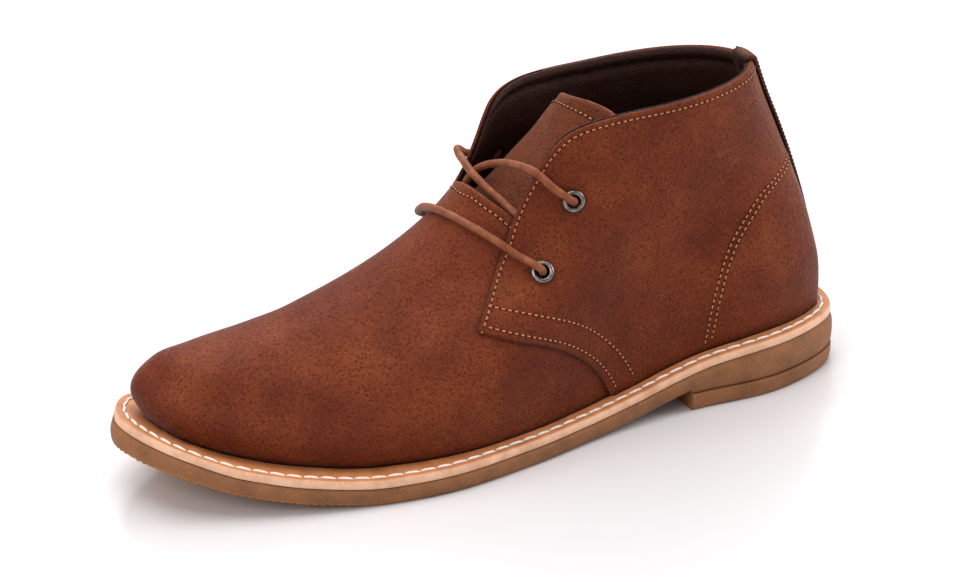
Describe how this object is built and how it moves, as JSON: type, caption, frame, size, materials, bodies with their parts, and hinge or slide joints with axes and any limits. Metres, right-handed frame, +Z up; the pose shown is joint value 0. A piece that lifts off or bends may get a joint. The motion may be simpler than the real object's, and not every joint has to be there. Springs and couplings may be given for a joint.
{
  "type": "chukka boot",
  "caption": "Ankle-high lace-up leather boot for a left foot: lasted upper with open quarters over a tongue, stitched welt, rubber outsole with toe spring and low heel.",
  "frame": {"origin": "middle of the footprint, on the floor", "axes": "+Z up, toe towards -Y and heel towards +Y, +X is the outer side of the left foot"},
  "size_m": [0.1056, 0.3012, 0.1334],
  "materials": {
    "outsole_rubber": "satin",
    "heel_rubber": "satin",
    "welt_leather": "satin",
    "insole_leather": "matte",
    "upper_leather": "satin",
    "tongue_leather": "satin",
    "strip_leather": "satin",
    "eyelet_metal": "satin",
    "lace_cord": "waxed"
  },
  "bodies": {
    "root": {"outsole": "outsole_rubber", "heel_lift": "heel_rubber", "welt": "welt_leather", "insole": "insole_leather", "upper": "upper_leather", "tongue": "tongue_leather", "back_strip": "strip_leather", "eyelet_outer_upper": "eyelet_metal", "eyelet_outer_lower": "eyelet_metal", "eyelet_inner_upper": "eyelet_metal", "eyelet_inner_lower": "eyelet_metal", "lace_bar": "lace_cord", "lace_crossing": "lace_cord"}
  },
  "joints": []
}
